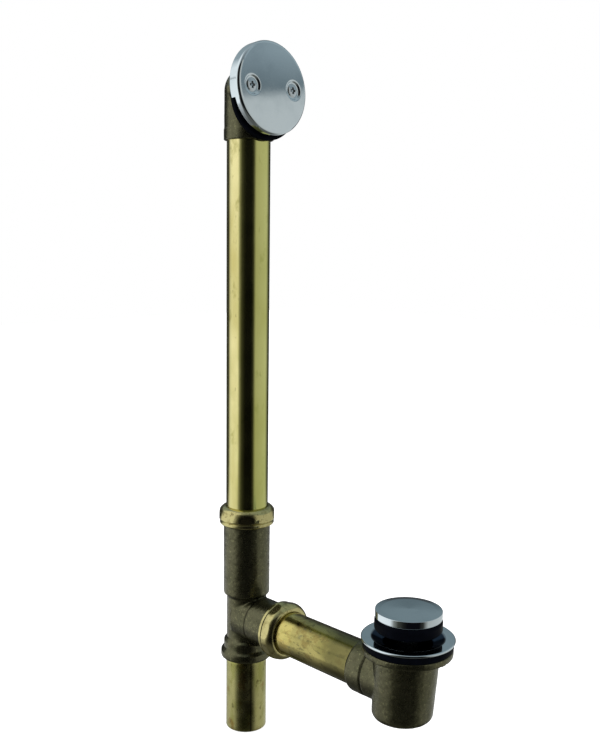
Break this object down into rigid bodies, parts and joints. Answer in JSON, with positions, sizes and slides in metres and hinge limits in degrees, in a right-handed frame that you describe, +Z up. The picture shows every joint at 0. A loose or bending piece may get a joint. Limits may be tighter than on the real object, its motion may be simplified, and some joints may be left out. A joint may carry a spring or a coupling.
{
  "type": "bath waste and overflow",
  "caption": "Brass bath waste and overflow: tall overflow tube with chrome cover, tee with tailpiece, and a side arm to a drain shoe with a press-down chrome stopper.",
  "frame": {"origin": "centre of the drain seat, on the stopper's axis, at the top face of the shoe gasket", "axes": "+Z up along the overflow tube, +X from the tee towards the drain, +Y to the left of +X"},
  "size_m": [0.2596, 0.0794, 0.6295],
  "materials": {
    "drawn_brass": "drawn, bright, stained",
    "cast_brass": "sand cast, rough",
    "turned_brass": "turned, polished",
    "chrome_plate": "polished",
    "chrome_screw": "polished",
    "black_rubber": "moulded",
    "washer_rubber": "moulded",
    "spring_steel": "drawn wire"
  },
  "bodies": {
    "waste": {"overflow_tube": "drawn_brass", "tailpiece": "drawn_brass", "waste_arm": "drawn_brass", "overflow_elbow": "cast_brass", "tee": "cast_brass", "drain_shoe": "cast_brass", "top_slip_nut": "turned_brass", "side_slip_nut": "turned_brass", "cartridge_body": "turned_brass", "cartridge_collar": "turned_brass", "overflow_faceplate": "chrome_plate", "drain_strainer": "chrome_plate", "faceplate_screw_left": "chrome_screw", "faceplate_screw_right": "chrome_screw", "overflow_gasket": "black_rubber", "shoe_gasket": "black_rubber", "top_slip_washer": "washer_rubber", "side_slip_washer": "washer_rubber", "cartridge_washer": "washer_rubber", "cartridge_spring": "spring_steel"},
    "stopper": {"stopper_cap": "chrome_plate", "stopper_seal": "black_rubber", "seal_retainer": "spring_steel", "plunger": "turned_brass", "plunger_o_ring": "washer_rubber"}
  },
  "joints": [
    {"name": "stopper_slide", "type": "slide", "parent": "waste", "child": "stopper", "axis": [0, 0, 1], "range_m": [-0.0075, 0], "stiffness_N_per_m": 250, "springref_m": 0.02, "deforming": ["cartridge_spring"]}
  ]
}
